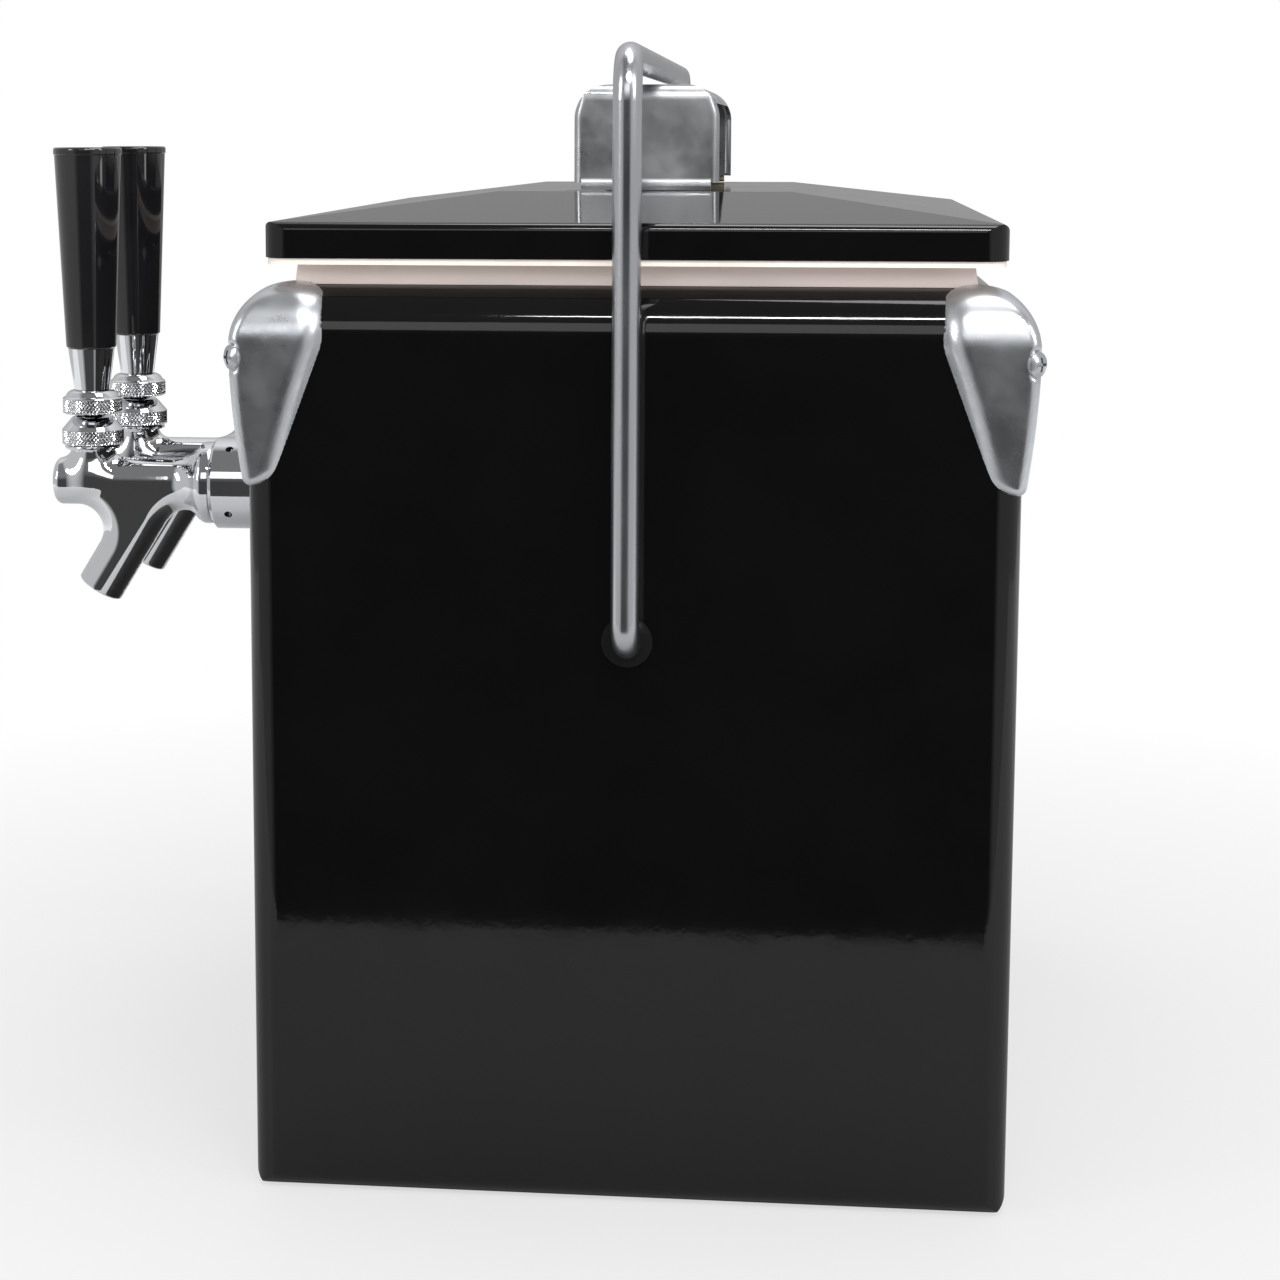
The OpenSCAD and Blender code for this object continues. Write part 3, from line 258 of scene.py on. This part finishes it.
GRID = 0.5

spout_way = np.array([math.sin(SPOUT_TILT), -math.cos(SPOUT_TILT)])
spout_side = np.array([math.cos(SPOUT_TILT), math.sin(SPOUT_TILT)])
spout_root = np.array([SPOUT_X, 0.0])


def arc_centre(radius, side):
    """Centre of the arc that touches the barrel's underside and one side of the spout"""
    across = (side * (BARREL_R + radius) + (BARREL_R + radius) * spout_side[1]) / spout_side[0]
    return np.array([SPOUT_X + across, -BARREL_R - radius])


def dense(a, b, step=0.1):
    count = max(2, int(np.linalg.norm(b - a) / step))
    return a + (b - a) * np.linspace(0, 1, count)[:, None]


def arc(centre, radius, start, end, step=0.1):
    """Points round centre from one point to another, the short way"""
    a0, a1 = (math.atan2(*(p - centre)[::-1]) for p in (start, end))
    turn = (a1 - a0 + math.pi) % (2 * math.pi) - math.pi
    angles = a0 + turn * np.linspace(0, 1, max(2, int(abs(turn) * radius / step)))
    return centre + radius * np.stack([np.cos(angles), np.sin(angles)], 1)


def side_outline():
    """The faucet's side view: barrel and spout joined by two hollow arcs, both run on past their ends"""
    front, rear = arc_centre(FRONT_ARC, 1), arc_centre(REAR_ARC, -1)
    front_on_spout = front - FRONT_ARC * spout_side
    rear_on_spout = rear + REAR_ARC * spout_side
    past = spout_way * (SPOUT_L + 30)
    corners = [np.array([-10.0, BARREL_R]), np.array([150.0, BARREL_R]), np.array([150.0, -BARREL_R]),
               np.array([front[0], -BARREL_R]), front_on_spout, spout_root + past + BARREL_R * spout_side,
               spout_root + past - BARREL_R * spout_side, rear_on_spout, np.array([rear[0], -BARREL_R]),
               np.array([-10.0, -BARREL_R])]
    return np.concatenate([dense(corners[0], corners[1]), dense(corners[1], corners[2]),
                           dense(corners[2], corners[3]), arc(front, FRONT_ARC, corners[3], corners[4]),
                           dense(corners[4], corners[5]), dense(corners[5], corners[6]),
                           dense(corners[6], corners[7]), arc(rear, REAR_ARC, corners[7], corners[8]),
                           dense(corners[8], corners[9]), dense(corners[9], corners[0])])


def flat_distance(x, z, outline):
    """Signed distance from each grid point to the outline, negative inside"""
    points = np.stack(np.meshgrid(x, z, indexing="ij"), -1).reshape(-1, 2)
    nearest = np.empty(len(points))
    inside = np.zeros(len(points), bool)
    ends = np.roll(outline, -1, axis=0)
    coarse = outline[::3]
    for i in range(0, len(points), 500):
        p = points[i:i + 500]
        nearest[i:i + 500] = np.sqrt(((p[:, None, :] - coarse[None]) ** 2).sum(-1).min(1))
        spans = (outline[None, :, 1] > p[:, 1:2]) != (ends[None, :, 1] > p[:, 1:2])
        rise = np.where(ends[:, 1] == outline[:, 1], 1.0, ends[:, 1] - outline[:, 1])
        meet = outline[:, 0] + (p[:, 1:2] - outline[:, 1]) / rise * (ends[:, 0] - outline[:, 0])
        inside[i:i + 500] = (spans & (p[:, 0:1] < meet)).sum(1) % 2 == 1
    return np.where(inside, -nearest, nearest).reshape(len(x), len(z))


def join(a, b, radius):
    """Union of two distance fields with a hollow fillet"""
    fillet = np.hypot(np.maximum(radius - a, 0), np.maximum(radius - b, 0))
    return np.maximum(np.minimum(a, b), radius) - fillet


def cut(a, b, radius):
    """Intersection of two distance fields with a rounded edge"""
    return -join(-a, -b, radius)


def round_bar(radial, along, radius, start, end, edge):
    return cut(cut(radial - radius, start - along, edge), along - end, edge)


def surface_nets(field, low, step):
    """Quads over the zero level of a field on a grid, with one vertex in each cell that the level crosses"""
    shape = np.array(field.shape) - 1
    total = np.zeros((*shape, 3))
    count = np.zeros(shape)
    for axis in range(3):
        others = [k for k in range(3) if k != axis]
        for da in (0, 1):
            for db in (0, 1):
                pick = [None] * 3
                pick[others[0]] = slice(da, shape[others[0]] + da)
                pick[others[1]] = slice(db, shape[others[1]] + db)
                pick[axis] = slice(0, shape[axis])
                a = field[tuple(pick)]
                pick[axis] = slice(1, shape[axis] + 1)
                b = field[tuple(pick)]
                crossed = (a < 0) != (b < 0)
                count += crossed
                total[..., axis] += np.where(crossed, a / np.where(crossed, a - b, 1), 0)
                total[..., others[0]] += crossed * da
                total[..., others[1]] += crossed * db
    used = count > 0
    number = np.full(shape, -1)
    number[used] = np.arange(used.sum())
    cells = np.argwhere(used)
    vertices = low + step * (cells + total[used] / count[used][:, None])
    faces = []
    for axis in range(3):
        u, v = (axis + 1) % 3, (axis + 2) % 3
        here = [slice(1, -1)] * 3
        here[axis] = slice(0, -1)
        ahead = list(here)
        ahead[axis] = slice(1, None)
        a, b = field[tuple(here)] < 0, field[tuple(ahead)] < 0
        for flip, mask in ((False, a & ~b), (True, ~a & b)):
            at = np.argwhere(mask) + [0 if k == axis else 1 for k in range(3)]
            ring = []
            for du, dv in ((1, 1), (0, 1), (0, 0), (1, 0)):
                cell = at.copy()
                cell[:, u] -= du
                cell[:, v] -= dv
                ring.append(number[cell[:, 0], cell[:, 1], cell[:, 2]])
            quad = np.stack(ring, 1)
            faces.append(quad[:, ::-1] if flip else quad)
    return vertices, np.concatenate(faces)


def faucet_mesh():
    low = np.array([TAIL_X - 1.5, -18.0, -53.0])
    high = np.array([REACH + 1.5, 18.0, STEP_TOP + 4.0])
    x, y, z = (np.arange(low[k], high[k] + GRID, GRID) for k in range(3))
    silhouette = flat_distance(x, z, side_outline())[:, None, :]
    gx, gy, gz = np.meshgrid(x, y, z, indexing="ij")
    swelling = np.hypot(np.maximum(silhouette + BARREL_R, 0), gy) - BARREL_R
    along = (gx - SPOUT_X) * spout_way[0] + gz * spout_way[1]
    across = (gx - SPOUT_X) * spout_side[0] + gz * spout_side[1]
    body = cut(swelling, along - SPOUT_L, 0.5)
    body = cut(body, gx - REACH, NOSE_R)
    body = np.maximum(body, TAIL_X - gx)
    around_x = np.hypot(gy, gz)
    body = join(body, round_bar(around_x, gx, RIM_R - 1.4, RIM_X0 + 1.0, RIM_X1 - 1.0, 0.3), RIM_FILLET)
    bead = round_bar(around_x, gx, RIM_R, RIM_X0, RIM_X1 - 1.2, 1.2)
    tail = round_bar(around_x, gx, TAIL_R, TAIL_X, RIM_X1, 0.3)
    around_z = np.hypot(gx - LEVER_X, gy)
    body = join(body, round_bar(around_z, gz, NECK_R, -1.0, NECK_TOP + 1.0, 0.3), NECK_FILLET)
    step_ring = round_bar(around_z, gz, STEP_R, NECK_TOP, STEP_TOP, 0.5)
    thread = round_bar(around_z, gz, THREAD_R, NECK_TOP, THREAD_TOP, 0.3)
    for piece in (bead, tail, step_ring, thread):
        body = np.minimum(body, piece)
    around_spout = np.hypot(across, gy)
    hollows = [round_bar(around_x, gx, radius, start, end, 0.2) for radius, start, end in BARREL_BORES]
    hollows += [round_bar(around_z, gz, radius, start, end, 0.2) for radius, start, end in NECK_BORES]
    hollows.append(round_bar(around_spout, along, SPOUT_BORE_R, 0.0, SPOUT_L + 5.0, 0.2))
    hollows.append(round_bar(around_spout, along, MOUTH_R, SPOUT_L - MOUTH_L, SPOUT_L + 5.0, 0.2))
    body = cut(body, -np.minimum.reduce(hollows), 0.4)
    return surface_nets(body, low, GRID)


def at_tap(points, side):
    """Points in millimetres from a tap's axis at the wall, in the row frame in metres"""
    out = np.empty((len(points), 3))
    out[:, 0] = WALL_X - np.array(points)[:, 0] * MM
    out[:, 1] = TAP_Y[side] + np.array(points)[:, 1] * MM
    out[:, 2] = TAP_Z + np.array(points)[:, 2] * MM
    return out


KNURL_TEETH = 50
KNURL_STEPS = 8         # points round each tooth
KNURL_DEPTH = 0.5
KNURL_RISE = 1.9        # height of one diamond


def knurl(angle, height):
    """How far a knurled surface lies below its crests, from 0 to 1"""
    u = angle * KNURL_TEETH / (2 * math.pi)
    v = height / KNURL_RISE
    ridge = np.maximum(abs(2 * ((u + v) % 1) - 1), abs(2 * ((u - v) % 1) - 1))
    return np.clip(ridge * 1.15 - 0.1, 0, 1)


def turned(outline, belt=None):
    """A ring turned from a closed outline of (radius, height). A belt (low, high) is knurled."""
    steps = KNURL_TEETH * KNURL_STEPS if belt else 128
    rows = []
    for i, (r, h) in enumerate(outline):
        rows.append((r, h))
        r2, h2 = outline[(i + 1) % len(outline)]
        if belt and r == r2 and min(h, h2) == belt[0] and max(h, h2) == belt[1]:
            count = int((belt[1] - belt[0]) / 0.2)
            rows += [(r, h + (h2 - h) * k / count) for k in range(1, count)]
    angle = np.arange(steps) * 2 * math.pi / steps
    vertices = []
    for r, h in rows:
        radius = np.full(steps, float(r))
        if belt and belt[0] < h < belt[1] and r == max(p[0] for p in outline):
            fade = min(1.0, (h - belt[0]) / 0.3, (belt[1] - h) / 0.3)
            radius -= KNURL_DEPTH * knurl(angle, h) * fade
        vertices.append(np.stack([radius * np.cos(angle), radius * np.sin(angle), np.full(steps, h)], 1))
    vertices = np.concatenate(vertices)
    count = len(rows)
    faces = []
    for i in range(count):
        j = (i + 1) % count
        for k in range(steps):
            m = (k + 1) % steps
            faces.append((i * steps + k, i * steps + m, j * steps + m, j * steps + k))
    return vertices, faces


def box_mm(node):
    """A node's lowest and highest heights above the tap's axis, in millimetres"""
    low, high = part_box(node)
    return (low[2] - TAP_Z) / MM, (high[2] - TAP_Z) / MM


def bonnet_outline():
    low, high = box_mm("bonnet_left")
    belt_top = high - 4.8
    outline = [(10.5, low), (12.2, low), (12.6, low + 0.4), (12.6, belt_top - 0.4), (12.2, belt_top),
               (8.4, high - 0.3), (7.9, high), (7.1, high), (6.9, high - 0.3), (6.0, high - 2.6),
               (10.5, high - 5.0)]
    return outline, (low + 0.4, belt_top - 0.4)


def collar_outline():
    low, high = box_mm("lever_collar_left")
    belt_top = high - 2.9
    outline = [(4.8, low + 2.3), (5.6, low + 2.3), (9.5, low), (11.7, low), (12.1, low + 0.4),
               (12.1, belt_top - 0.4), (11.6, belt_top + 0.1), (11.0, belt_top + 0.35), (9.9, high - 0.9),
               (8.8, high - 0.15), (8.2, high), (4.8, high)]
    return outline, (low + 0.4, belt_top - 0.4)


faucet_vertices, faucet_faces = faucet_mesh()
turned_parts = {"bonnet": (turned(*bonnet_outline()), "cabinet"),
                "lever_collar": (turned(*collar_outline()), "tap_lever_")}
for side in SIDES:
    # the tap's frame is a mirror image of the row's, so faces turn over
    new_piece("faucet_casting_" + side, at_tap(faucet_vertices, side), faucet_faces[:, ::-1], CHROME,
              "polished_chrome", "cabinet", "faucet_body_" + side)
    for name, ((vertices, faces), body) in turned_parts.items():
        shifted = np.array(vertices) + [LEVER_X, 0, 0]
        new_piece(name + "_knurled_" + side, at_tap(shifted, side), [f[::-1] for f in faces], CHROME,
                  "polished_chrome", body + side if body.endswith("_") else body, name + "_" + side)


# ---- Corner covers ----
# Lengths in millimetres, in the corner of the body where x and y are positive.

WALL_MM, END_MM, TOP_MM = (float(v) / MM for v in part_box("outer_shell")[1])
PROUD, TIP_PROUD = 4.8, 0.9       # how far a cover stands off the wall at its screw and at its tip
COVER_HEAD_R, COVER_TIP_R = 20.0, 8.5
COVER_HEAD_Z, COVER_TIP_Z = 312.4, 267.5
SCREW_Z = 305.0
SHELL_TOP_R, SHELL_CORNER_R = 18.0, 10.0    # the painted body's own edges
COVER_TOP_R, COVER_RIDGE_R = 23.0, 4.0      # the cover's shoulder, and its ridge down the corner
COVER_ON_TOP = 2.4      # how far the cover stands above the body's top
COVER_EDGE_R = 2.6
COVER_SWELL = 1.6       # how fast the cover swells from its tip to its screw
POCKET_R, POCKET_DEPTH = 5.0, 4.2           # the flat hollow that the screw's head sits in
COVER_BURIED = 0.4      # how far the rim runs into the paint
COVER_REACH = 26.0      # how far the cover reaches in along the corner's diagonal
COVER_GRID = 0.7


def teardrop(u, z):
    """Distance to the outline of a cover seen along the corner's diagonal: a large head over a small tip"""
    rise = COVER_HEAD_Z - COVER_TIP_Z
    lean = (COVER_HEAD_R - COVER_TIP_R) / rise
    steep = math.sqrt(1 - lean * lean)
    u, down = abs(u), COVER_HEAD_Z - z
    head = np.hypot(u, down) - COVER_HEAD_R
    tip = np.hypot(u, down - rise) - COVER_TIP_R
    flank = steep * u + lean * down - COVER_HEAD_R
    before = down * steep - u * lean
    return np.where(before < 0, head, np.where(before > steep * rise, tip, flank))


def cover_mesh():
    low = np.array([WALL_MM - 38.0, END_MM - 38.0, COVER_TIP_Z - 10.5])
    high = np.array([WALL_MM + 7.0, END_MM + 7.0, TOP_MM + 5.0])
    x, y, z = np.meshgrid(*(np.arange(low[k], high[k], COVER_GRID) for k in range(3)), indexing="ij")
    x_out, y_out, up = x - WALL_MM, y - END_MM, z - TOP_MM
    rise = np.clip((z - COVER_TIP_Z + COVER_TIP_R) / (SCREW_Z - COVER_TIP_Z + COVER_TIP_R), 0, 1)
    proud = TIP_PROUD + (PROUD - TIP_PROUD) * (1 - (1 - rise) ** COVER_SWELL)
    top = up - COVER_ON_TOP
    body = cut(cut(x_out - proud, top, COVER_TOP_R), cut(y_out - proud, top, COVER_TOP_R), COVER_RIDGE_R)
    across = (x_out - y_out) / math.sqrt(2)
    out = (x_out + y_out) / math.sqrt(2)
    cover = cut(body, teardrop(across, z), COVER_EDGE_R)
    pocket = round_bar(np.hypot(across, z - SCREW_Z), out, POCKET_R, POCKET_DEPTH, 30.0, 0.3)
    cover = cut(cover, -pocket, 0.8)
    shell = cut(cut(x_out, up, SHELL_TOP_R), cut(y_out, up, SHELL_TOP_R), SHELL_CORNER_R)
    # the rim runs on just into the paint, so that the wall itself draws the cover's outline
    cover = np.maximum(np.maximum(cover, -COVER_BURIED - shell), -COVER_REACH - out)
    return surface_nets(cover, low, COVER_GRID)


cover_vertices, cover_faces = cover_mesh()
for end, along_x in (("front", -1), ("rear", 1)):
    for side, along_y in (("left", 1), ("right", -1)):
        faces = cover_faces if along_x * along_y > 0 else cover_faces[:, ::-1]
        corner = end + "_" + side
        new_piece("pressed_cover_" + corner, cover_vertices * [along_x * MM, along_y * MM, MM], faces,
                  COVER_STEEL, "satin_steel", "cabinet", "corner_cover_" + corner)


# ---- Lid strap ----

STRAP_ROLL, STRAP_ROLL_SEEN = 0.0085, 0.013     # radius along its long edges in the CAD, and in the photo
STRAP_CUTS, STRAP_CUT_STEP = 9, 0.0005          # new rows of vertices where the wider roll begins


def half_width(z, top, wide, roll):
    """Half the strap's width at a height, with its long edges rolled to a radius"""
    above = max(0.0, min(z - top + roll, roll))
    return wide - roll + math.sqrt(roll * roll - above * above)


def strap_mesh():
    """The CAD's strap with its long edges rolled more widely, as the photo shows"""
    node = nodes["lid_strap"]
    low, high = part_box("lid_strap")
    top, wide = high[2], (high[0] - low[0]) / 2
    form = bmesh.new()
    form.from_mesh(node.data)
    form.transform(node.matrix_world)
    bmesh.ops.remove_doubles(form, verts=form.verts, dist=1e-6)
    for step in range(STRAP_CUTS):
        everything = form.verts[:] + form.edges[:] + form.faces[:]
        level = (0, 0, top - STRAP_ROLL_SEEN + step * STRAP_CUT_STEP)
        bmesh.ops.bisect_plane(form, geom=everything, plane_co=level, plane_no=(0, 0, 1))
    bmesh.ops.triangulate(form, faces=form.faces)
    for v in form.verts:
        was, seen = (half_width(v.co.z, top, wide, roll) for roll in (STRAP_ROLL, STRAP_ROLL_SEEN))
        v.co.x *= seen / was
    form.verts.index_update()
    vertices = [tuple(v.co) for v in form.verts]
    faces = [tuple(v.index for v in f.verts) for f in form.faces]
    form.free()
    return vertices, faces


new_piece("rolled_lid_strap", *strap_mesh(), STRAP_STEEL, "dull_steel", "lid", "lid_strap")


# ---- Studio ----

def background_ray(n):
    """1 for the camera's own rays, and 1 for those that glossy and clear things pass on"""
    path = n.add("ShaderNodeLightPath").outputs
    metal = n.math("MAXIMUM", path["Is Glossy Ray"], path["Is Transmission Ray"])
    return path["Is Camera Ray"], metal


TABLE_FRONT = -0.51     # the table's near edge, which the end wall reflects as a level line
TABLE_BACK = 1.9
TABLE_HALF = 1.5


def floor():
    """A white table that keeps the object's shadow and fades into the white backdrop further off"""
    mesh = bpy.data.meshes.new("studio_floor")
    z = cad_low[2] - 0.0005
    mesh.from_pydata([(-TABLE_HALF, TABLE_FRONT, z), (TABLE_HALF, TABLE_FRONT, z),
                      (TABLE_HALF, TABLE_BACK, z), (-TABLE_HALF, TABLE_BACK, z)], [], [(0, 1, 2, 3)])
    material = bpy.data.materials.new("white_table")
    material.use_nodes = True
    n = Nodes(material.node_tree)
    where = n.add("ShaderNodeTexCoord").outputs["Object"]
    grain = n.spread(n.noise(where, 4.0), 0.35, 0.5)
    shader = n.add("ShaderNodeBsdfPrincipled", {"Base Color": rgba((0.40, 0.40, 0.40)), "Roughness": grain,
                                                "Specular IOR Level": 0.15})
    white = n.add("ShaderNodeEmission", {"Color": rgba((1.0, 1.0, 1.0)), "Strength": 1.0})
    distance = n.add("ShaderNodeVectorMath", {0: where}, operation="LENGTH").outputs["Value"]
    near_white = n.spread(distance, 0.65, 1.0, 0.20, 0.70)
    far_white = n.spread(distance, 0.0, 1.0, 0.45, 1.2)
    camera_ray, metal_ray = background_ray(n)
    backdrop = n.math("MAXIMUM", n.math("MULTIPLY", camera_ray, near_white),
                      n.math("MULTIPLY", metal_ray, far_white))
    mixed = n.add("ShaderNodeMixShader", {0: backdrop, 1: shader.outputs[0], 2: white.outputs[0]})
    out = n.add("ShaderNodeOutputMaterial")
    n.tree.links.new(mixed.outputs[0], out.inputs[0])
    mesh.materials.append(material)
    obj = bpy.data.objects.new("studio_floor", mesh)
    bpy.context.scene.collection.objects.link(obj)


def softbox(name, place, target, size, power, shape="RECTANGLE"):
    light = bpy.data.lights.new(name, "AREA")
    light.shape = shape
    light.size, light.size_y = size
    light.energy = power
    obj = bpy.data.objects.new(name, light)
    obj.location = place
    obj.rotation_euler = (Vector(target) - Vector(place)).to_track_quat("-Z", "Y").to_euler()
    bpy.context.scene.collection.objects.link(obj)


def studio_world():
    """A white backdrop for the camera, a paler one in reflections behind the object, and a lit room"""
    world = bpy.data.worlds.new("studio")
    bpy.context.scene.world = world
    world.use_nodes = True
    n = Nodes(world.node_tree)
    way = n.add("ShaderNodeSeparateXYZ", {0: n.add("ShaderNodeTexCoord").outputs["Generated"]}).outputs
    height = n.spread(way["Z"], 0.36, 1.0, 0.05, 0.99)
    back = n.math("MULTIPLY", n.spread(way["Y"], 0.0, 1.0, -0.05, 0.40), height)
    side = n.spread(n.math("ABSOLUTE", way["X"]), 0.0, 0.60, 0.34, 0.58)
    ceiling = n.spread(way["Z"], 0.0, 0.22, 0.05, 0.40)
    mirrored = n.math("MAXIMUM", n.math("MAXIMUM", back, side), n.math("MAXIMUM", ceiling, 0.06))
    room = n.spread(way["Y"], 0.90, 0.95, -0.3, 0.6)
    camera_ray, metal_ray = background_ray(n)
    white = rgba((1.0, 1.0, 1.0))
    lit = n.add("ShaderNodeBackground", {"Color": white, "Strength": room})
    shown = n.add("ShaderNodeBackground", {"Color": white, "Strength": mirrored})
    seen = n.add("ShaderNodeBackground", {"Color": white, "Strength": 1.0})
    part = n.add("ShaderNodeMixShader", {0: metal_ray, 1: lit.outputs[0], 2: shown.outputs[0]})
    whole = n.add("ShaderNodeMixShader", {0: camera_ray, 1: part.outputs[0], 2: seen.outputs[0]})
    out = n.add("ShaderNodeOutputWorld")
    n.tree.links.new(whole.outputs[0], out.inputs[0])


CAMERA_PLACE = (0.0597, -1.1000, 0.3840)
CAMERA_TURN = 0.1086    # to the left of +Y, radians
CAMERA_DOWN = 0.1281
PHOTO_PIXELS = 1280
FOCAL_PIXELS = 2667.3   # at that many pixels across
CAMERA_SHIFT = (0.10, -0.13)


def camera():
    data = bpy.data.cameras.new("camera")
    data.sensor_width = 36.0
    data.lens = FOCAL_PIXELS / PHOTO_PIXELS * data.sensor_width
    data.shift_x, data.shift_y = CAMERA_SHIFT
    data.clip_end = 50.0
    obj = bpy.data.objects.new("camera", data)
    obj.location = CAMERA_PLACE
    obj.rotation_euler = (math.pi / 2 - CAMERA_DOWN, 0, CAMERA_TURN)
    bpy.context.scene.collection.objects.link(obj)
    bpy.context.scene.camera = obj


floor()
studio_world()
softbox("key", (0.245, -1.0, 1.3), (0.245, -0.1, 0.3), (0.84, 0.07), 10, "ELLIPSE")
softbox("front", (0.0, -1.9, 1.15), (0, -0.1, 0.35), (1.4, 0.60), 4)
softbox("overhead", (0.1, 0.1, 1.75), (0, 0, 0.25), (1.0, 0.5), 9)
softbox("left_bank", (-1.2, -0.95, 0.9), (-0.1, 0, 0.25), (0.30, 0.8), 6)
softbox("right_bank", (1.2, -0.85, 1.0), (0.1, 0, 0.25), (0.30, 0.7), 6)
camera()
bpy.context.scene.view_settings.view_transform = "Standard"
